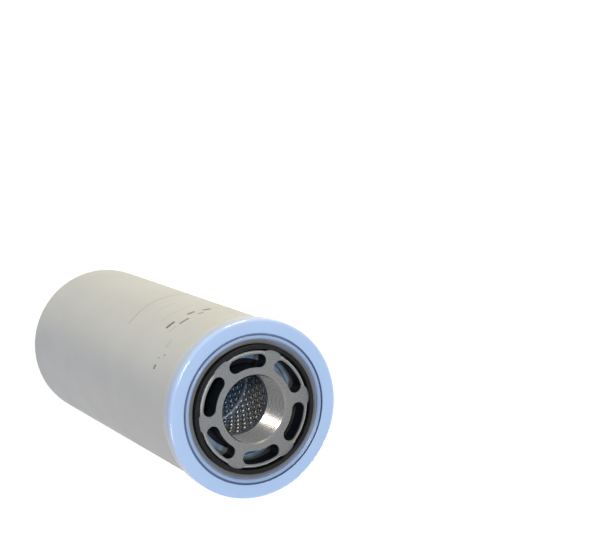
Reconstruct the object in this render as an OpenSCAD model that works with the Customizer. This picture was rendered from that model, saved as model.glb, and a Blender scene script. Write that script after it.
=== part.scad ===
// A spin-on filter for hydraulic oil. A drawn steel can is closed by a threaded
// plate with six ports, and a pleated element stands inside on a spring.
// It stands on its closed end with the ports up, and Z runs along its axis.
// All sizes are in millimetres.

/* [Can] */
// Height from the foot to the face of the collar
can_h = 312.5; // [220:0.5:420]
// Outside diameter of the straight side
body_d = 124.2; // [120:0.1:150]
// Thickness of the can's steel
wall = 1.5; // [1:0.1:1.8]
// Outside radius of the rounded bottom edge
foot_r = 20; // [8:0.5:24]
// Depth of the dish pressed up into the bottom
dish_h = 1.5; // [0.8:0.1:2.2]
// How far the collar stands out from the side
collar_out = 2.4; // [1.8:0.1:3.6]
// Height of the collar's straight band, up to its face
collar_h = 12.7; // [11:0.1:18]
// Height of the slope under the collar
shoulder_h = 2.5; // [2:0.1:4]
// Inside radius of the bend where the collar rolls over into the lip
lip_bend = 0.4; // [0.2:0.1:1]

/* [Threaded plate] */
// Outside diameter of the thread in the hub
thread_d = 50.8; // [38:0.1:54]
// Threads in an inch
thread_tpi = 12; // [10:1:20]
// Metal outside the thread in the hub
hub_wall = 3.2; // [2.5:0.1:4.5]
// Length of the hub below the plate's face
hub_l = 32.7; // [29:0.1:42]
// Width of the step on the hub that stops the element
hub_step_w = 1.3; // [1:0.1:2]
// Height of the gap that the step keeps between the plate and the element's seal
hub_step_h = 6.3; // [4:0.1:8]
// Number of ports
port_n = 6; // [4:1:6]
// Width of each port, across its curve
port_w = 9.7; // [6:0.1:11]
// Angle of each port, end to end
port_angle = 48; // [34:0.5:49]
// Metal between the ports and the edge of the raised face
face_land = 2.3; // [2:0.1:4]
// Depth of the raised face below the collar's face
face_recess = 0.3; // [0.2:0.1:1.2]
// How far the lobes that centre the gasket stand out
lobe_out = 1.45; // [1:0.05:2.5]

/* [Gasket and cover ring] */
// Width of the gasket
gasket_w = 3; // [2.6:0.1:5]
// Height of the gasket
gasket_h = 6; // [5.4:0.1:7.4]
// How far the gasket stands above the collar's face
gasket_proud = 1.6; // [1:0.1:2.2]
// Thickness of the cover ring's steel
cover_t = 1.2; // [1:0.1:1.4]
// Width of the ledge between the gasket's channel and the bead
ledge_w = 3.4; // [2.4:0.1:4.5]
// Width of the rolled bead
bead_w = 3.3; // [3:0.1:4.4]
// Height of the bead's crest above the collar's face
bead_proud = 0.4; // [0:0.1:0.8]
// Width of the gap between the bead and the can's lip
lip_gap = 1; // [0.6:0.1:1.6]
// Thickness of the sealing ring in the plate's rim
rim_seal_d = 3.4; // [2.4:0.1:4]

/* [Element] */
// Gap between the element and the can, for the oil to come down
annulus = 5.1; // [3:0.1:8]
// Thickness of the end caps' steel
cap_t = 1; // [0.6:0.1:1.2]
// Height of the end caps' turned edges
skirt_h = 7; // [6:0.5:12]
// Height of the ridge pressed up in the open end cap
ridge_h = 1.2; // [0.6:0.1:1.6]
// Distance of the ridge from the cap's hole and from its edge
ridge_inset = 6.5; // [5:0.5:8]
// Thickness of the hub seal's rubber inside the cap's hole
grommet_wall = 1.5; // [1.2:0.1:2]
// Height of the hub seal's flange on the cap
grommet_flange = 2.5; // [1.5:0.1:3]
// Width of that flange
grommet_flange_w = 2.8; // [2:0.1:3.6]
// Length of the hub seal below the cap
grommet_l = 5; // [3:0.5:7]
// Thickness of the adhesive that holds the pleats in the caps
potting_h = 5; // [3:0.5:5.5]
// Thickness of the centre tube's steel
tube_t = 1; // [0.6:0.1:1.4]
// Diameter of the holes in the centre tube
tube_hole_d = 8; // [4:0.5:10]
// Holes in each ring round the centre tube
tube_hole_n = 12; // [8:1:14]
// Rings of holes up the centre tube
tube_ring_n = 10; // [4:1:10]
// Rise of the centre tube's spiral in one turn
tube_lead = 53; // [0:1:60]
// Number of pleats
pleat_n = 60; // [40:1:64]
// Thickness of the pleated sheet
media_t = 1.3; // [0.8:0.1:1.4]
// Height of the bands that space the pleats
band_h = 4; // [2:0.5:8]
// Thickness of the bands
band_t = 1.3; // [1:0.1:1.5]
// Thickness of the clip that joins the ends of the pleated sheet
clip_t = 0.5; // [0.3:0.1:0.6]
// Depth of the clip over its pleat
clip_l = 8; // [5:0.5:9]

/* [Spring] */
// Height of the spring between its seat and the element
spring_h = 21; // [19:0.5:36]
// Diameter of the spring's wire
wire_d = 3.6; // [2.4:0.1:3.8]
// Diameter of the spring between the middles of its wire
spring_d = 52; // [48:0.5:58]
// Turns of the spring
spring_turns = 4; // [3.5:0.5:4.5]
// Thickness of the spring seat
seat_t = 1; // [0.8:0.1:1.4]

/* [Clearances] */
// Gap round a piece that is seated and doesn't move
seat_gap = 0.1; // [0.05:0.01:0.2]
// Gap between the hub and the element's sliding seal
run_gap = 0.08; // [0.05:0.01:0.1]
// Gap between the element and the step that stops it
stop_gap = 0.3; // [0.2:0.05:0.5]

/* [Hidden] */
$fn = 96;

// Radii of the can, outside and inside
body_r = body_d / 2;
collar_r = body_r + collar_out;
body_in_r = body_r - wall;
collar_in_r = collar_r - wall;
dish_r = 20;
dish_slope = 3;
press_bend = 2;
lip_z = can_h - wall;
shoulder_z = can_h - collar_h - shoulder_h;
// Inner corner where the slope under the collar ends, and how far the plate sits into that slope
shoulder_turn = atan(collar_out / shoulder_h);
shoulder_in_z = shoulder_z + shoulder_h + wall * tan(shoulder_turn / 2);
seat_depth = 0.8;

// Radii of the plate and what seats on it, from the thread outwards
thread_pitch = 25.4 / thread_tpi;
thread_depth = 0.5413 * thread_pitch;
bore_r = thread_d / 2 - thread_depth;
hub_r = thread_d / 2 + hub_wall;
hub_step_r = hub_r + hub_step_w;
port_in_r = hub_step_r + seat_gap;
port_mid_r = port_in_r + port_w / 2;
face_r = port_in_r + port_w + face_land;
gasket_in_r = face_r + lobe_out + seat_gap / 2;
gasket_out_r = gasket_in_r + gasket_w;
floor_in_r = gasket_in_r + 0.3;
channel_gap = 0.2;
floor_out_r = gasket_out_r + channel_gap;
bead_in_r = floor_out_r + ledge_w;
bead_out_r = bead_in_r + bead_w;
lip_in_r = bead_out_r + lip_gap;
dip_w = 2.2;
dip_r = bead_out_r + dip_w;
rim_r = collar_in_r - seat_gap;
seal_groove_r = rim_r - rim_seal_d - seat_gap;
groove_r = dip_r + 0.5;
lobe_r = 6;
lobe_drop = 0.4;
edge_c = 0.6;
mouth_c = 0.9;

// Levels of the plate and what seats on it
face_z = can_h - face_recess;
hub_z = face_z - hub_l;
rim_top_z = lip_z - cover_t;
rim_low_z = shoulder_in_z - seat_depth;
step_z = rim_low_z - hub_step_h;
gasket_z = can_h + gasket_proud - gasket_h;
groove_z = gasket_z - cover_t;
crest_z = can_h + bead_proud;
dip_z = min(lip_z - 0.2, crest_z - bead_w / 2 - 0.45);
rim_seal_z = (rim_top_z + shoulder_in_z) / 2;

// Radii and levels of the element
grommet_in_r = hub_r + run_gap;
grommet_out_r = grommet_in_r + grommet_wall;
cap_hole_r = grommet_out_r + seat_gap;
grommet_catch = 1;
catch_r = grommet_out_r + grommet_catch;
tube_in_r = catch_r + 3 * seat_gap;
tube_r = tube_in_r + tube_t;
element_r = body_in_r - annulus;
skirt_in_r = element_r - cap_t;
pleat_in_r = tube_r + 0.5;
pleat_r = skirt_in_r - 0.7;
seat_top_z = wall + seat_t;
cap_low_z = seat_top_z + spring_h;
cap_top_z = step_z - stop_gap - grommet_flange;
tube_low_z = cap_low_z + cap_t;
tube_top_z = cap_top_z - cap_t;
pleat_low_z = tube_low_z + potting_h;
pleat_top_z = tube_top_z - potting_h;
cap_bend = 2;
band_n = 5;
band_pitch = (pleat_top_z - pleat_low_z) / (band_n + 1);
boss_h = 2;
spring_in_r = (spring_d - wire_d) / 2;
spring_out_r = (spring_d + wire_d) / 2;

// A point turned about the origin, by an angle in degrees
function turned(p, a) = [p.x * cos(a) - p.y * sin(a), p.x * sin(a) + p.y * cos(a)];

function unit(v) = v / norm(v);

function flat(p) = [p.x, p.y];

// Angle of one facet on a bend of 1 mm radius
facet_angle = 30;

// The round bend at b, on the way from a to c
function bend(a, b, c, r) =
    let (u = unit(a - b), v = unit(c - b), half = acos(u * v) / 2)
    let (middle = b + unit(u + v) * r / sin(half), start = b + u * r / tan(half) - middle)
    let (turn = (180 - 2 * half) * sign(cross(b - a, c - b)))
    let (n = max(4, ceil(abs(turn) * sqrt(r) / facet_angle)))
    [for (i = [0:n]) middle + turned(start, turn * i / n)];

// A path through points given as [r, z, bend radius]
function bent(p) =
    [for (i = [0:len(p) - 1])
        each (i == 0 || i == len(p) - 1 || p[i][2] == 0)
            ? [flat(p[i])]
            : bend(flat(p[i - 1]), flat(p[i]), flat(p[i + 1]), p[i][2])];

function left_of(a, b) = unit([a.y - b.y, b.x - a.x]);

// Where point i of an open path lies once the path is moved left by t
function moved(p, i, t) =
    let (last = len(p) - 1)
    let (m = left_of(p[max(i - 1, 0)], p[max(i, 1)]), n = left_of(p[min(i, last - 1)], p[min(i + 1, last)]))
    p[i] + t * (m + n) / (1 + m * n);

// The section of a pressed sheet: one face is the path, the other lies t to its left
function sheet(p, t) = concat(p, [for (i = [len(p) - 1:-1:0]) moved(p, i, t)]);

module pressed(points, t) {
    rotate_extrude() polygon(sheet(bent(points), t));
}

// A solid ring of rectangular section
module ring(r_in, r_out, low, h) {
    translate([0, 0, low]) difference() {
        cylinder(r = r_out, h = h);
        translate([0, 0, -1]) cylinder(r = r_in, h = h + 2);
    }
}

// Drawn can, with its collar rolled over the cover ring as a flat lip
module can() {
    color("#c9d6ec") pressed([
        [0, dish_h, 0],
        [dish_r - dish_slope, dish_h, press_bend],
        [dish_r, 0, wall + press_bend],
        [body_r, 0, foot_r],
        [body_r, shoulder_z, 1],
        [collar_r, shoulder_z + shoulder_h, wall + 0.5],
        [collar_r, can_h, wall + lip_bend],
        [lip_in_r, can_h, 0]
    ], wall);
}

// One port: a curved slot with round ends, centred on the X axis
module port_cutter() {
    end_angle = asin(port_w / 2 / port_mid_r);
    sweep = port_angle - 2 * end_angle;
    depth = face_z - rim_low_z + 2;
    translate([0, 0, rim_low_z - 1]) {
        rotate(-sweep / 2) rotate_extrude(angle = sweep) translate([port_in_r, 0]) square([port_w, depth]);
        for (side = [-1, 1]) {
            rotate(side * sweep / 2) translate([port_mid_r, 0, 0]) cylinder(d = port_w, h = depth);
        }
    }
}

// Plate with its threaded hub, six ports and raised face, seated on the slope under the collar
module threaded_plate() {
    seal_half = rim_seal_d / 2 + 0.5;
    chamfer_r = collar_in_r - seat_depth * collar_out / shoulder_h - seat_gap;
    color("#8d9192") difference() {
        union() {
            rotate_extrude() polygon([
                [bore_r + edge_c, hub_z], [bore_r, hub_z + edge_c],
                [bore_r, face_z - mouth_c], [bore_r + mouth_c, face_z],
                [face_r - edge_c, face_z], [face_r, face_z - edge_c],
                [face_r, groove_z], [groove_r, groove_z], [groove_r, rim_top_z],
                [rim_r - 0.3, rim_top_z], [rim_r, rim_top_z - 0.3],
                [rim_r, rim_seal_z + seal_half], [seal_groove_r, rim_seal_z + seal_half],
                [seal_groove_r, rim_seal_z - seal_half], [rim_r, rim_seal_z - seal_half],
                [rim_r, shoulder_in_z], [chamfer_r, rim_low_z],
                [hub_step_r, rim_low_z], [hub_step_r, step_z], [hub_r, step_z],
                [hub_r, hub_z + 1], [hub_r - 1, hub_z]
            ]);
            for (i = [0:port_n - 1]) {
                rotate(i * 360 / port_n) translate([face_r + lobe_out - lobe_r, 0, groove_z])
                    cylinder(r = lobe_r, h = face_z - lobe_drop - groove_z, $fn = 48);
            }
        }
        for (i = [0:port_n - 1]) {
            rotate((i + 0.5) * 360 / port_n) port_cutter();
        }
    }
}

// Cover ring: flat under the can's lip, rolled up into a bead, then stepped down by a ledge to the
// gasket's floor
module cover_ring() {
    crest_bend = bead_w / 2 - 0.02;
    color("#bccbe4") pressed([
        [collar_in_r - lip_bend - seat_gap, lip_z, 0],
        [dip_r, lip_z, cover_t + 0.4],
        [bead_out_r, dip_z, 0.3],
        [bead_out_r, crest_z, crest_bend],
        [bead_in_r, crest_z, crest_bend],
        [bead_in_r, dip_z, 0.3],
        [floor_out_r, dip_z, cover_t + 0.2],
        [floor_out_r, gasket_z, channel_gap],
        [floor_in_r, gasket_z, 0]
    ], cover_t);
}

// Face gasket, seated in the cover ring's channel and centred by the plate's lobes
module gasket() {
    corner = 0.7;
    top = can_h + gasket_proud;
    color("#2b2a2c") rotate_extrude() polygon(concat(
        [[gasket_in_r, gasket_z], [gasket_out_r, gasket_z]],
        bend([gasket_out_r, gasket_z], [gasket_out_r, top], [gasket_in_r, top], corner),
        bend([gasket_out_r, top], [gasket_in_r, top], [gasket_in_r, gasket_z], corner)
    ));
}

// Sealing ring in the groove round the plate's rim
module rim_seal() {
    color("#26262a") translate([0, 0, rim_seal_z])
        rotate_extrude() translate([(collar_in_r + seal_groove_r) / 2, 0]) circle(d = rim_seal_d, $fn = 32);
}

// Pressed seat that keeps the spring in the middle of the can's bottom
module spring_seat() {
    hole_r = 6;
    slope = 1.8;
    flange_w = 4;
    edge_h = 2.4;
    seat_r = spring_out_r + flange_w;
    boss_top = wall + 3 * dish_h;
    color("#9aa0a4") pressed([
        [hole_r, boss_top, 0],
        [spring_in_r - 2 * slope, boss_top, seat_t],
        [spring_in_r - slope, wall, seat_t + 0.6],
        [seat_r, wall, seat_t + 1],
        [seat_r, wall + seat_t + edge_h, 0]
    ], seat_t);
}

// Coil spring with closed ends, which holds the element up against the hub's step
module element_spring() {
    sides = 10;
    steps = 28 * spring_turns;
    closed = wire_d + 0.1;
    rise = spring_h - wire_d - 0.04;
    levels = [[0, 0], [1, closed], [spring_turns - 1, rise - closed], [spring_turns, rise]];
    rings = [for (i = [0:steps]) let (turn = i * spring_turns / steps)
        for (k = [0:sides - 1]) let (b = k * 360 / sides, a = turn * 360)
            let (r = spring_d / 2 + wire_d / 2 * cos(b))
            [r * cos(a), r * sin(a), seat_top_z + 0.02 + wire_d / 2 * (1 + sin(b)) + lookup(turn, levels)]];
    sides_faces = [for (i = [0:steps - 1]) for (k = [0:sides - 1]) let (j = (k + 1) % sides)
        [i * sides + k, i * sides + j, (i + 1) * sides + j, (i + 1) * sides + k]];
    first = [for (k = [sides - 1:-1:0]) k];
    last = [for (k = [0:sides - 1]) steps * sides + k];
    color("#6f7478") polyhedron(rings, concat([first], sides_faces, [last]));
}

// End cap under the plate, with a hole for the hub's seal
module open_end_cap() {
    ridge_in = cap_hole_r + ridge_inset;
    ridge_out = element_r - ridge_inset;
    slope = 1.4;
    color("#8ea3b4") pressed([
        [element_r, cap_top_z - skirt_h, 0],
        [element_r, cap_top_z, cap_bend + cap_t],
        [ridge_out + slope, cap_top_z, cap_t + 0.4],
        [ridge_out, cap_top_z + ridge_h, cap_t + 0.4],
        [ridge_in + slope, cap_top_z + ridge_h, cap_t + 0.4],
        [ridge_in, cap_top_z, cap_t + 0.4],
        [cap_hole_r, cap_top_z, 0]
    ], cap_t);
}

// Rubber seal caught on the end cap's edge, which slides on the hub
module hub_grommet() {
    low = tube_top_z - grommet_l;
    lead = grommet_wall / 2;
    flange_r = grommet_out_r + grommet_flange_w;
    color("#303034") rotate_extrude() polygon([
        [grommet_in_r + lead, low], [catch_r - lead, low], [catch_r, low + lead],
        [catch_r, tube_top_z], [grommet_out_r, tube_top_z], [grommet_out_r, cap_top_z],
        [flange_r, cap_top_z], [flange_r, cap_top_z + grommet_flange],
        [grommet_in_r, cap_top_z + grommet_flange], [grommet_in_r, low + lead]
    ]);
}

// A disc of adhesive in an end cap, with the edge on the cap's side cut to clear its bend
module potting(low, edge_up) {
    r_in = tube_r + seat_gap;
    r_out = skirt_in_r - seat_gap;
    cut = cap_bend;
    top = low + potting_h;
    cut_low = edge_up ? 0 : cut;
    cut_top = edge_up ? cut : 0;
    color("#a58a5e") rotate_extrude() polygon([
        [r_in, low], [r_out - cut_low, low], [r_out, low + cut_low],
        [r_out, top - cut_top], [r_out - cut_top, top], [r_in, top]
    ]);
}

// Perforated tube up the middle, its holes set along a spiral
module centre_tube() {
    pitch = (tube_top_z - tube_low_z - tube_lead) / tube_ring_n;
    step = 360 / tube_hole_n;
    color("#9ba4ab") difference() {
        ring(tube_in_r, tube_r, tube_low_z, tube_top_z - tube_low_z);
        for (j = [0:tube_ring_n - 1]) {
            for (i = [0:tube_hole_n - 1]) {
                turn = (i + (j % 2) / 2) * step;
                level = tube_low_z + (j + 0.5) * pitch + tube_lead * (i + 0.5) / tube_hole_n;
                translate([0, 0, level]) rotate(turn) rotate([0, 90, 0])
                    translate([0, 0, tube_in_r - 2]) cylinder(d = tube_hole_d, h = tube_t + 4, $fn = 24);
            }
        }
    }
}

// The middle of the pleated sheet, seen from above: its legs run along the radius
function pleat_path() =
    let (quarter = 90 / pleat_n, far = pleat_r - media_t / 2, near = pleat_in_r + media_t / 2)
    [for (i = [0:pleat_n - 1]) for (leg = [[-1, near], [-1, far], [1, far], [1, near]])
        let (a = i * 4 * quarter + leg[0] * quarter) [leg[1] * cos(a), leg[1] * sin(a)]];

// A closed path moved left by t
function closed_moved(p, t) =
    let (n = len(p))
    [for (i = [0:n - 1]) let (m = left_of(p[(i + n - 1) % n], p[i]), k = left_of(p[i], p[(i + 1) % n]))
        p[i] + t * (m + k) / (1 + m * k)];

// Filter sheet, folded into pleats and closed into a ring
module pleated_media() {
    path = pleat_path();
    color("#e6dcc0") translate([0, 0, pleat_low_z]) linear_extrude(pleat_top_z - pleat_low_z) difference() {
        polygon(closed_moved(path, -media_t / 2));
        polygon(closed_moved(path, media_t / 2));
    }
}

// Half the width of a pleat at its outer fold, and the clip's reach past it
function pleat_half() = pleat_r * sin(90 / pleat_n) + media_t / 2 + seat_gap;
function clip_r() = pleat_r + seat_gap + clip_t;

// Channel crimped over the pleat where the sheet's ends meet
module media_seam_clip() {
    outer = 2 * (pleat_half() + clip_t);
    color("#a9b0b5") translate([0, 0, pleat_low_z]) linear_extrude(pleat_top_z - pleat_low_z) difference() {
        translate([clip_r() - clip_l, -outer / 2]) square([clip_l, outer]);
        translate([clip_r() - clip_l - 1, -pleat_half()]) square([clip_l + 1 - clip_t, 2 * pleat_half()]);
    }
}

// One band round the pleats, notched where it crosses the clip
module pleat_band(i) {
    level = pleat_low_z + i * band_pitch - band_h / 2;
    notch = pleat_half() + clip_t + seat_gap;
    color("#d9cfa8") difference() {
        ring(pleat_r + seat_gap, pleat_r + seat_gap + band_t, level, band_h);
        translate([pleat_r - 2, -notch, level - 1]) cube([clip_t + seat_gap + 2.05, 2 * notch, band_h + 2]);
    }
}

module pleat_band_1() { pleat_band(1); }
module pleat_band_2() { pleat_band(2); }
module pleat_band_3() { pleat_band(3); }
module pleat_band_4() { pleat_band(4); }
module pleat_band_5() { pleat_band(5); }

module open_end_potting() { potting(pleat_top_z, true); }
module closed_end_potting() { potting(tube_low_z, false); }

// End cap on the spring, with a boss pressed down inside the spring
module closed_end_cap() {
    color("#8ea3b4") pressed([
        [0, cap_low_z - boss_h, 0],
        [spring_in_r - 2 * boss_h, cap_low_z - boss_h, cap_t + 0.6],
        [spring_in_r - boss_h, cap_low_z, 1.2],
        [element_r, cap_low_z, cap_bend + cap_t],
        [element_r, cap_low_z + skirt_h, 0]
    ], cap_t);
}

can();
threaded_plate();
cover_ring();
gasket();
rim_seal();
spring_seat();
element_spring();
open_end_cap();
hub_grommet();
open_end_potting();
centre_tube();
pleated_media();
media_seam_clip();
pleat_band_1();
pleat_band_2();
pleat_band_3();
pleat_band_4();
pleat_band_5();
closed_end_potting();
closed_end_cap();
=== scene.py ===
import bpy
import bmesh
from math import atan2, cos, degrees, hypot, pi, radians, sin, tan
from mathutils import Matrix, Vector


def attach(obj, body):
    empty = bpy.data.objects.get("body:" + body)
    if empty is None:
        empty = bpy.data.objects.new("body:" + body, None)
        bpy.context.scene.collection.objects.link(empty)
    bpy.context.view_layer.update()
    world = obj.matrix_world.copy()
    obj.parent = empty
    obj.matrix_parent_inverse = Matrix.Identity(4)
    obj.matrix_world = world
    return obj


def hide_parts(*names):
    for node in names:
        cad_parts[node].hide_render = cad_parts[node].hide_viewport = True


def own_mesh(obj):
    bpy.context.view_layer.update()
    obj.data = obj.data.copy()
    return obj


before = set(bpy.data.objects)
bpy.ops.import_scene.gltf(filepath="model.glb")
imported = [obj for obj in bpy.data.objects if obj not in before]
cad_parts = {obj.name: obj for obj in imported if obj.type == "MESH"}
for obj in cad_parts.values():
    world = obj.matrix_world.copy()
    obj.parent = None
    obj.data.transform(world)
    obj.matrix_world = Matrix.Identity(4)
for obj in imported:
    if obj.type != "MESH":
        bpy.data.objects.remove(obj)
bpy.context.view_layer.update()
MM = 0.001

# The view. The camera looks down on the ports of the upright filter and is rolled, so the
# picture shows it as the photograph does, where it lies on its side.
view = bpy.data.cameras.new("view")
view.sensor_fit = "HORIZONTAL"
view.sensor_width = 36
view.lens = 96.03
camera = bpy.data.objects.new("camera", view)
to_right = Vector((0.87423805, -0.13442066, 0.46651786))
to_top = Vector((0.21638887, 0.96806816, -0.1265697))
facing = Matrix((to_right, to_top, to_right.cross(to_top))).transposed().to_4x4()
camera.matrix_world = Matrix.Translation(Vector((-440.9713, 327.5185, 1301.4937)) * MM) @ facing
bpy.context.scene.collection.objects.link(camera)
bpy.context.scene.camera = camera
bpy.context.scene.view_settings.view_transform = "Standard"


# The can: one cup drawn from 1.5 mm steel, with a dish pressed up into its foot and a wider
# collar rolled over as a flat lip. Its pale enamel is painted bluer on the collar as a painted
# cool light, is painted dark at the lip's inner edge as painted shade, and has a clear gloss on
# the lip's bend. A small print in grey ink stands on its side under the collar.
def lathe(corners, closed=False, facets=180, bend_facet=9):
    """The skin of a turned piece, from its section's corners: radius, height and bend in mm."""
    bm = bmesh.new()
    points = [bm.verts.new((r * MM, 0, z * MM)) for r, z, _ in corners]
    following = points[1:] + points[:1] if closed else points[1:]
    for a, b in zip(points, following):
        bm.edges.new((a, b))
    for point, (_, _, bend) in zip(points, corners):
        if bend:
            a, b = [edge.other_vert(point).co - point.co for edge in point.link_edges]
            turn = pi - a.angle(b)
            bmesh.ops.bevel(bm, geom=[point], affect="VERTICES", offset_type="OFFSET",
                            offset=bend * MM * tan(turn / 2), profile=0.5, material=-1,
                            segments=max(3, round(degrees(turn) / bend_facet)))
    bmesh.ops.spin(bm, geom=bm.verts[:] + bm.edges[:], axis=(0, 0, 1), angle=2 * pi, steps=facets,
                   use_merge=True)
    bmesh.ops.remove_doubles(bm, verts=bm.verts, dist=0.001 * MM)
    bmesh.ops.recalc_face_normals(bm, faces=bm.faces)
    return bm


def piece(name, bm, body, material, replaced, sharp=32):
    """The finished object of a mesh: smooth but for its sharp edges, riding on its body."""
    for face in bm.faces:
        face.smooth = True
    for edge in bm.edges:
        edge.smooth = edge.is_manifold and edge.calc_face_angle(0) < radians(sharp)
    mesh = bpy.data.meshes.new(name)
    bm.to_mesh(mesh)
    bm.free()
    mesh.materials.append(material)
    made = bpy.data.objects.new(name, mesh)
    bpy.context.scene.collection.objects.link(made)
    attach(made, body)
    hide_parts(*replaced)
    return made


class Signal:
    """A number that a finish works out at each point of a surface. Sums on it add Math nodes."""

    def __init__(self, finish, socket):
        self.finish, self.socket = finish, socket

    def __add__(self, other):
        return self.finish.math("ADD", self, other)

    def __sub__(self, other):
        return self.finish.math("SUBTRACT", self, other)

    def __rsub__(self, other):
        return self.finish.math("SUBTRACT", other, self)

    def __mul__(self, other):
        return self.finish.math("MULTIPLY", self, other)

    def __gt__(self, other):
        return self.finish.math("GREATER_THAN", self, other)

    def __lt__(self, other):
        return self.finish.math("LESS_THAN", self, other)

    def near(self, middle, reach):
        return self.finish.math("COMPARE", self, middle, reach)


class Finish:
    """One material in the making: its Principled shader, and the nodes that feed it."""

    def __init__(self, name, **constants):
        self.material = bpy.data.materials.new(name)
        self.material.use_nodes = True
        self.tree = self.material.node_tree
        self.shader = self.tree.nodes["Principled BSDF"]
        self.wear(**constants)

    def node(self, kind, settings, sockets, out=0):
        node = self.tree.nodes.new(kind)
        for key, value in settings.items():
            setattr(node, key, value)
        for key, value in sockets.items():
            self.feed(node.inputs[key], value)
        return Signal(self, node.outputs[out])

    def feed(self, socket, value):
        if isinstance(value, Signal):
            self.tree.links.new(value.socket, socket)
        else:
            socket.default_value = value

    def wear(self, **values):
        for name, value in values.items():
            self.feed(self.shader.inputs[name.replace("_", " ")], value)

    def math(self, operation, *values):
        return self.node("ShaderNodeMath", {"operation": operation}, dict(enumerate(values)))

    def place(self):
        return self.node("ShaderNodeTexCoord", {}, {}, "Object")

    def axes(self):
        """X, Y and Z in millimetres."""
        parts = self.node("ShaderNodeSeparateXYZ", {}, {0: self.place()}).socket.node.outputs
        return [Signal(self, part) * 1000 for part in parts]

    def radius(self, x, y):
        return self.math("SQRT", x * x + y * y)

    def noise(self, size_mm, detail=3.0, stretch=(1, 1, 1)):
        at = self.node("ShaderNodeMapping", {}, {"Vector": self.place(), "Scale": stretch})
        sockets = {"Vector": at, "Scale": 1000 / size_mm, "Detail": detail}
        return self.node("ShaderNodeTexNoise", {}, sockets)

    def spread(self, value, low, high, at_low=0.0, at_high=1.0):
        return self.node("ShaderNodeMapRange", {"interpolation_type": "SMOOTHSTEP"},
                         {0: value, 1: low, 2: high, 3: at_low, 4: at_high})

    def tint(self, share, first, second):
        return self.node("ShaderNodeMix", {"data_type": "RGBA"}, {0: share, 6: first, 7: second}, 2)

    def bump(self, height, depth_mm, strength=1.0):
        sockets = {"Height": height, "Distance": depth_mm * MM, "Strength": strength}
        return self.node("ShaderNodeBump", {}, sockets)


def rgb(red, green, blue):
    """A colour given as a picture shows it, 0 to 255, in the linear numbers of a shader."""
    return (*[((c / 255 + 0.055) / 1.055) ** 2.4 for c in (red, green, blue)], 1)


def enamel(finish, colour, dull=0.12):
    """Sprayed gloss enamel: an even colour with a faint cloud in it, and a shallow orange peel."""
    cloud = finish.spread(finish.noise(26), 0.35, 0.65)
    finish.wear(Base_Color=finish.tint(cloud * 0.12, colour, rgb(178, 190, 214)),
                Roughness=cloud * 0.05 + dull,
                Normal=finish.bump(finish.noise(2.4, 1), 0.012, 0.4))


def painted_shade_joint(finish, x, y):
    """The gap between lip and ring, painted dark as painted shade, and painted paler towards one side (y
    above x) as painted light.
    """
    return finish.tint(finish.spread(y - x, 0, 50), rgb(88, 98, 116), rgb(140, 153, 180))


SIDE, COLLAR, LIP, COLLAR_FACE, WALL = 62.1, 64.5, 54.4, 312.5, 1.5
can_paint = Finish("can_paint", Specular_IOR_Level=0.12, Coat_Roughness=0.06)
x, y, z = can_paint.axes()
radius = can_paint.radius(x, y)
# The print is one slanting line and 13 strokes. A stroke has its middle and half its width
# in degrees round the can, then its height and half its own in mm, then the ink's strength.
# The last four of them stand at every quarter turn.
turn = can_paint.math("ARCTAN2", y, x) * (180 / pi)
quarter = can_paint.math("WRAP", turn - 136, 45, -45)
ink = turn.near(99, 26) * z.near((turn - 99) * 0.2255 + 178.1, 0.5) * 0.55
for across, middle, half, level, reach, strength in (
        (turn, 101.3, 9.2, 202, 0.5, 0.3), (turn, 102.8, 10, 225, 0.6, 0.25),
        (turn, 114, 3.6, 242, 1.7, 0.9), (turn, 106.7, 3.8, 251.4, 1.4, 0.8),
        (turn, 97.2, 2.8, 242, 1.7, 0.85), (turn, 93.6, 2, 251.2, 1.2, 0.7),
        (turn, 86.3, 3, 245, 2.0, 0.8), (turn, 78.7, 1.5, 243.6, 0.6, 0.5),
        (turn, 116.6, 3.3, 251.2, 0.5, 0.4), (quarter, -8.3, 2.9, 265, 0.5, 0.5),
        (quarter, -0.4, 0.7, 270.6, 1, 0.65), (quarter, 2.6, 0.6, 264.3, 0.9, 0.6),
        (quarter, 9.1, 1.7, 264.7, 1.3, 0.8)):
    ink = ink + across.near(middle, half) * z.near(level, reach) * strength
ink = ink * can_paint.spread(can_paint.noise(1.4, 1), 0.3, 0.5, 0.7, 0.95)
# Painted shade: the lip's inner edge, over the gap to the ring, is painted dark as the shade in it.
painted_shade_crevice = (radius < LIP + 0.3) * (z > 310) * (z < COLLAR_FACE - 0.4)
# Painted light: the collar's outer wall and rim are painted bluer, standing in for the cool light from
# above.
collar_painted_light = can_paint.spread(z, 301.5, 304) * can_paint.spread(radius, 62.7, 64)
enamel_and_painted_light = can_paint.tint(collar_painted_light, rgb(190, 205, 228), rgb(171, 200, 254))
printed = can_paint.tint(ink, enamel_and_painted_light, rgb(58, 58, 64))
enamel(can_paint, can_paint.tint(painted_shade_crevice, printed, painted_shade_joint(can_paint, x, y)),
       dull=can_paint.spread(z, 297, 300, 0.5, 0.14))
can_paint.wear(Coat_Weight=can_paint.spread(radius, 61.6, 62.8) * (z > 309))

can_wall = lathe([(0, WALL, 0), (17, WALL, 2), (20, 0, 3.5), (SIDE, 0, 20), (SIDE, 297.3, 1),
                  (COLLAR, 299.8, 2), (COLLAR, COLLAR_FACE, 1.9), (LIP, COLLAR_FACE, 0.5),
                  (LIP, COLLAR_FACE - WALL, 0), (COLLAR - WALL, COLLAR_FACE - WALL, 0.4),
                  (COLLAR - WALL, 300.42, 0.5), (SIDE - WALL, 297.92, 1.5),
                  (SIDE - WALL, WALL, 18.5), (20.4, WALL, 2), (17.6, 2 * WALL, 3.5),
                  (0, 2 * WALL, 0)])
piece("can_shell", can_wall, "housing", can_paint.material, ["can"])


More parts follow.
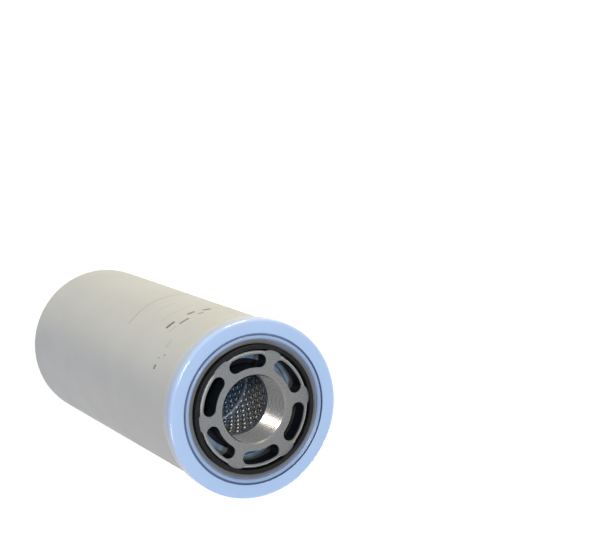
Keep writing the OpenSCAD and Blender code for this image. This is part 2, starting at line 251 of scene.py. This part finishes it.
# The plate: an aluminium casting, turned on its face and rim, with six curved ports round its
# hub and six broad lobes, flush with its face, that keep the gasket in the middle. The hub has
# a right-hand 2 inch thread of 12 turns an inch, cut down to a plain end.
PLATE_FACE, LOBE_TOP, LOBE_PITCH, LOBE_WIDER = 312.2, 311.8, pi / 3, 0.84
BORE, ROOT, PITCH = 24.254, 25.4, 25.4 / 12
HUB_LOW, THREAD_LOW, THREAD_TOP, THREAD_MOUTH = 280.1, 284.2, 311.24, 311.3
plate_metal = Finish("plate_metal", Metallic=1.0)
x, y, z = plate_metal.axes()
radius = plate_metal.radius(x, y)
bore = radius < 25.7
tail = bore * (z < THREAD_LOW - 0.2)
# Partly real, partly painted highlight: the turned chamfer round the plate's rim is painted far brighter
# than the face.
rim_edge_and_painted_highlight = radius.near(41.66, 0.45) * (z > 311.3) * (z < PLATE_FACE - 0.04)
off_lobe = plate_metal.math("WRAP", plate_metal.math("ARCTAN2", y, x), LOBE_PITCH / 2, -LOBE_PITCH / 2)
# Painted highlight: a pale line painted round the face just inside its rim, between the lobes.
rim_line_painted_highlight = radius.near(41.25, 0.25) * (z > PLATE_FACE - 0.1) * (1 - off_lobe.near(0, radians(9.5)))
# Painted shade: the ports' walls and the rim's side below the face are painted nearly black, as the
# shade in them.
painted_shade_deep = (radius > 29.5) * (1 - plate_metal.spread(z, 310.2, 311.9))
speck = plate_metal.noise(0.9, 3)
rings = plate_metal.node("ShaderNodeTexWave", {"wave_type": "RINGS", "rings_direction": "Z"},
                         {"Vector": plate_metal.place(), "Scale": 1000 / 2.5, "Distortion": 1.5})
cast_and_painted_light = plate_metal.tint(plate_metal.spread(speck, 0.35, 0.65), rgb(107, 104, 100), rgb(128, 124, 119))
cast_and_painted_light = plate_metal.tint(rim_line_painted_highlight, cast_and_painted_light, rgb(166, 161, 153))
cast_and_painted_light = plate_metal.tint(painted_shade_deep, cast_and_painted_light, rgb(38, 38, 40))
turned_and_painted_highlight = plate_metal.tint(tail, rgb(134, 134, 134), rgb(190, 198, 212))
turned_and_painted_highlight = plate_metal.tint(rim_edge_and_painted_highlight, turned_and_painted_highlight, rgb(214, 211, 204))
bright = plate_metal.math("MAXIMUM", bore, rim_edge_and_painted_highlight)
plate_metal.wear(Base_Color=plate_metal.tint(bright, cast_and_painted_light, turned_and_painted_highlight),
                 Roughness=plate_metal.spread(speck, 0.3, 0.7, 0.5, 0.62) - (bore - tail) * 0.32,
                 Normal=plate_metal.bump(rings * 0.3 + speck * (1 - bore), 0.03, 0.35))

plate = bmesh.new()
plate.from_mesh(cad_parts["threaded_plate"].data)
bmesh.ops.remove_doubles(plate, verts=plate.verts, dist=0.002 * MM)
bmesh.ops.dissolve_limit(plate, verts=plate.verts, edges=plate.edges, angle_limit=radians(0.4))
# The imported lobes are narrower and 0.4 mm low. They are raised flush, and the points round the
# rim slide away from each lobe's middle, so that it grows from 8 to 13 mm wide.
for v in plate.verts:
    from_axis, level = hypot(v.co.x, v.co.y), v.co.z / MM
    if from_axis > 41.7 * MM and abs(level - LOBE_TOP) < 0.02:
        v.co.z = PLATE_FACE * MM
    if 41 * MM < from_axis < 45 * MM and level > 306:
        angle = atan2(v.co.y, v.co.x)
        aside = (angle + LOBE_PITCH / 2) % LOBE_PITCH - LOBE_PITCH / 2
        angle += LOBE_WIDER * aside * (1 - abs(aside) / (LOBE_PITCH / 2)) ** 2
        v.co.x, v.co.y = from_axis * cos(angle), from_axis * sin(angle)

# The bore's plain wall gives way to the thread: its groove is wound up the bore, trimmed at
# both ends, and joined to the mouth above and to the hub's plain end below.
bore_wall = [face for face in plate.faces
             if all(abs(hypot(v.co.x, v.co.y) / MM - BORE) < 0.03 for v in face.verts)]
bmesh.ops.delete(plate, context="FACES", geom=bore_wall)
cut = bmesh.new()
groove = [(BORE, 0), (BORE, 0.25), (ROOT, 0.5625), (ROOT, 0.6875)]
thread_turns = int((THREAD_TOP - THREAD_LOW) / PITCH) + 3
points = [cut.verts.new((r * MM, 0, (THREAD_LOW + (i - 1 + part) * PITCH) * MM))
          for i in range(thread_turns) for r, part in groove]
for a, b in zip(points, points[1:]):
    cut.edges.new((a, b))
bmesh.ops.spin(cut, geom=cut.verts[:] + cut.edges[:], axis=(0, 0, 1), dvec=(0, 0, PITCH * MM / 120),
               angle=2 * pi, steps=120)
bmesh.ops.remove_doubles(cut, verts=cut.verts, dist=0.004 * MM)
for level, normal in ((THREAD_TOP, 1), (THREAD_LOW, -1)):
    bmesh.ops.bisect_plane(cut, geom=cut.verts[:] + cut.edges[:] + cut.faces[:],
                           plane_co=(0, 0, level * MM), plane_no=(0, 0, normal), clear_outer=True)
thread = bpy.data.meshes.new("thread")
cut.to_mesh(thread)
cut.free()
plate.from_mesh(thread)


def open_edges(level, reach=0.02):
    """The edges of the plate's open rims at one height in mm."""
    return [edge for edge in plate.edges
            if edge.is_boundary and all(abs(v.co.z / MM - level) < reach for v in edge.verts)]


bmesh.ops.bridge_loops(plate, edges=open_edges(THREAD_MOUTH) + open_edges(THREAD_TOP))
run_out = bmesh.ops.create_circle(plate, segments=96, radius=BORE * MM,
                                  matrix=Matrix.Translation((0, 0, (THREAD_LOW - 0.4) * MM)))
run_out = list(dict.fromkeys(edge for v in run_out["verts"] for edge in v.link_edges))
bmesh.ops.bridge_loops(plate, edges=open_edges(THREAD_LOW) + run_out)
bmesh.ops.bridge_loops(plate, edges=[e for e in run_out if e.is_boundary] + open_edges(HUB_LOW))
bmesh.ops.recalc_face_normals(plate, faces=plate.faces)
piece("plate_with_thread", plate, "housing", plate_metal.material, ["threaded_plate"])


# The cover ring: pressed steel held under the can's lip, rolled up into a bead and then down
# into the gasket's channel. It is enamelled with the can, in a darker copy of its colour as
# painted shade, darker still on the bead's outer shoulder and painted dark in the gap under the
# lip as painted shade; the channel is brown-grey.
SHEET, UNDER_LIP, BEAD_TOP, VALLEY, CHANNEL = 1.2, COLLAR_FACE - WALL, 312.9, 310.8, 308.1
ring_paint = Finish("ring_paint", Specular_IOR_Level=0.12)
x, y, z = ring_paint.axes()
radius = ring_paint.radius(x, y)
# The channel inside the bead, under about 50 mm radius, is coloured brown-grey.
brown_channel = 1 - ring_paint.spread(radius, 49.2, 50.6)
# Painted shade: the valley and wall under the lip's edge are painted dark as the shade in the gap.
painted_shade_crevice = (radius > 53.6) * (z < 311.7)
# Painted shade: the bead is painted darker than the can's enamel, and darker again on its outer
# shoulder.
enamel_and_painted_light = ring_paint.tint(ring_paint.spread(radius, 52.3, 53.3), rgb(164, 178, 202), rgb(120, 133, 158))
enamel_and_painted_light = ring_paint.tint(brown_channel, enamel_and_painted_light, rgb(120, 108, 96))
enamel(ring_paint, ring_paint.tint(painted_shade_crevice, enamel_and_painted_light, painted_shade_joint(ring_paint, x, y)))
cover = lathe([(62.5, UNDER_LIP, 0), (55.6, UNDER_LIP, 1.6), (53.4, VALLEY, 0.3),
               (53.4, BEAD_TOP, 1.63), (50.1, BEAD_TOP, 1.63), (50.1, VALLEY, 0.3),
               (46.7, VALLEY, 1.4), (46.7, CHANNEL, 0.2), (43.8, CHANNEL, 0),
               (43.8, CHANNEL - SHEET, 0), (46.7 + SHEET, CHANNEL - SHEET, 1.4),
               (46.7 + SHEET, VALLEY - SHEET, 0.2), (50.1 + SHEET, VALLEY - SHEET, 1.5),
               (50.1 + SHEET, BEAD_TOP - SHEET, 0.43), (53.4 - SHEET, BEAD_TOP - SHEET, 0.43),
               (53.4 - SHEET, VALLEY - SHEET, 1.5), (55.6, UNDER_LIP - SHEET, 0.4),
               (62.5, UNDER_LIP - SHEET, 0)], closed=True)
piece("cover_pressing", cover, "housing", ring_paint.material, ["cover_ring"])


# The gasket: a moulded ring of black rubber, seated in the cover ring's channel round the
# plate's lobes. It stands a little above the collar and seals on the filter head.
rubber = Finish("gasket_rubber", Specular_IOR_Level=0.16)
bloom = rubber.noise(3, 4)
rubber.wear(Base_Color=rubber.tint(rubber.spread(bloom, 0.4, 0.7), rgb(15, 14, 15), rgb(26, 24, 24)),
            Roughness=rubber.spread(bloom, 0.3, 0.7, 0.42, 0.58),
            Normal=rubber.bump(rubber.noise(0.5), 0.02, 0.3))
seal = lathe([(43.5, CHANNEL, 0.1), (46.5, CHANNEL, 0.1), (46.5, 314.1, 0.7), (43.5, 314.1, 0.7)],
             closed=True)
piece("face_gasket", seal, "housing", rubber.material, ["gasket"])


# The rim seal: a ring of the same black rubber in the groove round the plate's rim, squeezed
# by the can.
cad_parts["rim_seal"].material_slots[0].material = rubber.material


# The spring seat: a pressed, zinc plated saucer, which keeps the spring in the middle of the
# can's foot.
zinc = Finish("zinc_steel", Metallic=1.0)
spangle = zinc.noise(4, 2)
zinc.wear(Base_Color=zinc.tint(zinc.spread(spangle, 0.35, 0.65), rgb(176, 182, 188), rgb(200, 203, 204)),
          Roughness=zinc.spread(spangle, 0.3, 0.7, 0.28, 0.42))
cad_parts["spring_seat"].material_slots[0].material = zinc.material


# The spring: a right-hand coil of tempered wire with closed ends, which holds the element up
# against the hub. It shortens when the element moves down.
WIRE, COIL, COIL_LOW, COIL_TOP, COIL_TURNS, COIL_STEPS = 3.6, 26.0, 2.52, 23.48, 4, 40
spring_steel = Finish("spring_steel", Metallic=1.0)
scale = spring_steel.noise(2, 4)
tempered = spring_steel.tint(spring_steel.spread(scale, 0.3, 0.7), rgb(92, 94, 98), rgb(132, 132, 134))
spring_steel.wear(Base_Color=tempered, Roughness=spring_steel.spread(scale, 0.3, 0.7, 0.35, 0.55))
coil = bmesh.new()
wire_start = Matrix.Translation((COIL * MM, 0, (COIL_LOW + WIRE / 2) * MM))
bmesh.ops.create_circle(coil, segments=16, radius=WIRE / 2 * MM,
                        matrix=wire_start @ Matrix.Rotation(pi / 2, 4, "X"))
wire_end = coil.verts[:] + coil.edges[:]
closed_rise = WIRE + 0.1
open_rise = COIL_TOP - COIL_LOW - WIRE - 2 * closed_rise
for turns, rise in ((1, closed_rise), (COIL_TURNS - 2, open_rise), (1, closed_rise)):
    spun = bmesh.ops.spin(coil, geom=wire_end, axis=(0, 0, 1), angle=2 * pi * turns,
                          dvec=(0, 0, rise / turns / COIL_STEPS * MM), steps=COIL_STEPS * turns)
    wire_end = spun["geom_last"]
bmesh.ops.holes_fill(coil, edges=[e for e in coil.edges if e.is_boundary])
bmesh.ops.recalc_face_normals(coil, faces=coil.faces)
spring = piece("coil_spring", coil, "housing", spring_steel.material, ["element_spring"])
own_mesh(spring)


# The end caps: pressed from thin plated sheet with a grey wash. The upper one has a
# stiffening ridge and a hole for the hub's seal, the lower one a boss inside the spring.
cap_steel = Finish("cap_steel", Metallic=0.6)
wash = cap_steel.noise(9, 4)
plated = cap_steel.tint(cap_steel.spread(wash, 0.3, 0.7), rgb(128, 134, 140), rgb(150, 154, 158))
cap_steel.wear(Base_Color=plated, Roughness=cap_steel.spread(wash, 0.3, 0.7, 0.34, 0.48))
for name in ("open_end_cap", "closed_end_cap"):
    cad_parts[name].material_slots[0].material = cap_steel.material


# The hub seal: a flanged rubber ring, caught on the edge of the upper cap's hole. It slides
# on the hub when the element moves.
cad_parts["hub_grommet"].material_slots[0].material = rubber.material


# The adhesive in the caps: poured as a liquid and set hard round the ends of the centre tube
# and against the ends of the pleats.
glue = Finish("adhesive", Specular_IOR_Level=0.5)
pour = glue.noise(7, 3)
glue.wear(Base_Color=glue.tint(glue.spread(pour, 0.3, 0.7), rgb(158, 130, 86), rgb(182, 156, 110)),
          Roughness=glue.spread(pour, 0.3, 0.7, 0.3, 0.45), Normal=glue.bump(pour, 0.2, 0.4))
for name in ("open_end_potting", "closed_end_potting"):
    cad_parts[name].material_slots[0].material = glue.material


# The centre tube: wound from a strip of perforated steel, 53 mm of tube to a turn, with the
# strip's edges folded into a lock seam that climbs inside it as a thin ridge. Its holes stand
# in nine rows along the strip, each with a raised rim that the punch left inside, painted
# near white and less metallic as a painted highlight.
TUBE, LEAD, ROWS, PER_TURN, HOLE, BURR, SEAM = 32.0, 53.0, 9, 33, 1.6, 0.7, 3.0
TUBE_LOW, TUBE_TOP, STRIP = 24.5, 289.5, 0.9
tube_steel = Finish("tube_steel")
smear = tube_steel.noise(6, 3)
x, y, z = tube_steel.axes()
# Painted highlight: the raised rims round the holes are painted near white.
burr_painted_highlight = tube_steel.spread(tube_steel.radius(x, y), 30.5, 30.9, 1, 0)
wall = tube_steel.tint(tube_steel.spread(smear, 0.3, 0.7), rgb(130, 136, 145), rgb(154, 160, 168))
tube_steel.wear(Base_Color=tube_steel.tint(burr_painted_highlight, wall, rgb(230, 236, 242)), Metallic=0.8 - burr_painted_highlight * 0.5,
                Roughness=tube_steel.spread(smear, 0.3, 0.7, 0.3, 0.44))

# One hole of each row and one length of seam are bent to the tube, and then wound up it.
row_h = (LEAD - SEAM) / ROWS
step = 2 * pi / PER_TURN
half_w, half_h = TUBE * step / 2 * MM, row_h / 2 * MM
tube = bmesh.new()
for row in range(ROWS):
    hole = bmesh.ops.create_circle(tube, segments=12, radius=HOLE * MM)["verts"]
    for v in hole:
        v.co.z = BURR * MM
    cell = bmesh.ops.create_circle(tube, segments=12, radius=HOLE * MM)["verts"]
    for v in cell:
        grow = max(abs(v.co.x), abs(v.co.y))
        v.co.x, v.co.y = v.co.x / grow * half_w, v.co.y / grow * half_h
    rims = dict.fromkeys(edge for v in hole + cell for edge in v.link_edges)
    bmesh.ops.bridge_loops(tube, edges=list(rims))
    bmesh.ops.translate(tube, verts=hole + cell, vec=((row % 2) * half_w, (row + 0.5) * row_h * MM, 0))
for v in tube.verts:
    across = v.co.x / TUBE / MM
    lift = v.co.y + across / (2 * pi) * LEAD * MM
    r = TUBE * MM - v.co.z
    v.co = (r * cos(across), r * sin(across), (TUBE_LOW - LEAD) * MM + lift)
ridge = TUBE - 0.75
lock = [(TUBE, 0), (TUBE, 0.7), (ridge, 0.9), (ridge, 2.1), (TUBE, 2.3), (TUBE, SEAM)]
sides = []
for a in (-step / 2, step / 2):
    seam_low = TUBE_LOW - LEAD + ROWS * row_h + a / (2 * pi) * LEAD
    sides.append([tube.verts.new((r * MM * cos(a), r * MM * sin(a), (seam_low + up) * MM))
                  for r, up in lock])
for i in range(len(lock) - 1):
    tube.faces.new((sides[0][i], sides[1][i], sides[1][i + 1], sides[0][i + 1]))
tube_steps = PER_TURN * (int((TUBE_TOP - TUBE_LOW) / LEAD) + 3)
bmesh.ops.spin(tube, geom=tube.verts[:] + tube.edges[:] + tube.faces[:], axis=(0, 0, 1),
               angle=step * tube_steps, dvec=(0, 0, LEAD / PER_TURN * MM), steps=tube_steps,
               use_duplicate=True)
bmesh.ops.remove_doubles(tube, verts=tube.verts, dist=0.01 * MM)
for level, normal in ((TUBE_TOP, 1), (TUBE_LOW, -1)):
    bmesh.ops.bisect_plane(tube, geom=tube.verts[:] + tube.edges[:] + tube.faces[:],
                           plane_co=(0, 0, level * MM), plane_no=(0, 0, normal), clear_outer=True)
bmesh.ops.recalc_face_normals(tube, faces=tube.faces)
bmesh.ops.solidify(tube, geom=tube.faces[:], thickness=STRIP * MM)
piece("perforated_tube", tube, "element", tube_steel.material, ["centre_tube"])


# The filter sheet: glass fibre folded into sixty pleats. It is pale outside and looks dark
# at the inner folds, which lie close to the tube and get little light.
media = Finish("media", Specular_IOR_Level=0.2)
fibre = media.noise(0.6, 4, (1, 1, 0.2))
x, y, z = media.axes()
inner_fold = media.spread(x * x + y * y, 35 ** 2, 44 ** 2, 1, 0)
sheet = media.tint(media.spread(fibre, 0.35, 0.65), rgb(228, 216, 186), rgb(244, 236, 214))
media.wear(Base_Color=media.tint(inner_fold, sheet, rgb(52, 48, 44)),
           Roughness=media.spread(fibre, 0.3, 0.7, 0.8, 0.95), Normal=media.bump(fibre, 0.05, 0.6))
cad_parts["pleated_media"].material_slots[0].material = media.material


# The seam clip: a folded channel of plated steel, crimped over the pleat where the two ends
# of the sheet meet.
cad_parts["media_seam_clip"].material_slots[0].material = zinc.material


# The bands: five beads of pale adhesive, run round the outer folds and set, which keep the
# pleats apart.
band_glue = Finish("band_glue", Specular_IOR_Level=0.3)
weave = band_glue.noise(1.2, 3, (1, 1, 3))
bead = band_glue.tint(band_glue.spread(weave, 0.35, 0.65), rgb(210, 198, 158), rgb(226, 216, 182))
band_glue.wear(Base_Color=bead, Roughness=band_glue.spread(weave, 0.3, 0.7, 0.6, 0.75))
for i in range(1, 6):
    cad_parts[f"pleat_band_{i}"].material_slots[0].material = band_glue.material


# The stand: a plain white floor under a white sky. A cool lamp hangs over the ports and a
# cream one by the camera reaches down the bore. Two amber lamps and a white one light the sides.
def lamp(name, azimuth, height, distance, size, watts, colour):
    """A round lamp that points at the middle of the part, set by two angles and a distance."""
    light = bpy.data.lights.new(name, "AREA")
    light.shape, light.size, light.energy, light.color = "DISK", size, watts, colour
    made = bpy.data.objects.new(name, light)
    a, e = radians(azimuth), radians(height)
    away = Vector((cos(e) * cos(a), cos(e) * sin(a), sin(e)))
    made.location = Vector((0, 0, 0.25)) + away * distance
    made.rotation_euler = away.to_track_quat("Z", "Y").to_euler()
    bpy.context.scene.collection.objects.link(made)


lamp("over_ports", 140, 83, 1.6, 0.35, 15, (0.40, 0.66, 1.0))
lamp("front", 133, 58, 1.9, 0.3, 11.4, (1.0, 0.9, 0.76))
lamp("warm_top", 74, 4, 1.8, 0.7, 28.5, (1.0, 0.74, 0.36))
lamp("warm_low", 197, 4, 1.8, 0.6, 13.5, (1.0, 0.72, 0.4))
lamp("fill", 318, 6, 1.8, 0.7, 19, (0.94, 0.97, 1.0))

SEEN_SKY, DIFFUSE_SKY, SEEN_FLOOR = 0.82, 0.18, 0.86
sky = bpy.data.worlds.new("sky")
bpy.context.scene.world = sky
sky.use_nodes = True
links, nodes = sky.node_tree.links, sky.node_tree.nodes
nodes["Background"].inputs["Color"].default_value = (1, 1, 1, 1)
light_path = nodes.new("ShaderNodeLightPath")
total = None
for ray in ("Is Camera Ray", "Is Glossy Ray", "Is Transmission Ray"):
    more = nodes.new("ShaderNodeMath")
    more.operation = "MULTIPLY_ADD"
    links.new(light_path.outputs[ray], more.inputs[0])
    more.inputs[1].default_value = SEEN_SKY
    more.inputs[2].default_value = DIFFUSE_SKY
    if total:
        links.new(total, more.inputs[2])
    total = more.outputs[0]
links.new(total, nodes["Background"].inputs["Strength"])

white = Finish("floor_white", Roughness=0.9, Specular_IOR_Level=0.0, Base_Color=(0.32, 0.32, 0.32, 1),
               Emission_Strength=SEEN_FLOOR)
camera_ray, glossy_ray, clear_ray = [white.node("ShaderNodeLightPath", {}, {}, f"Is {kind} Ray")
                                     for kind in ("Camera", "Glossy", "Transmission")]
white.wear(Emission_Color=white.tint(camera_ray + glossy_ray + clear_ray, (0, 0, 0, 1), (1, 1, 1, 1)))
ground = bmesh.new()
bmesh.ops.create_grid(ground, x_segments=1, y_segments=1, size=6)
floor_mesh = bpy.data.meshes.new("floor")
ground.to_mesh(floor_mesh)
ground.free()
floor_mesh.materials.append(white.material)
floor = bpy.data.objects.new("floor", floor_mesh)
bpy.context.scene.collection.objects.link(floor)
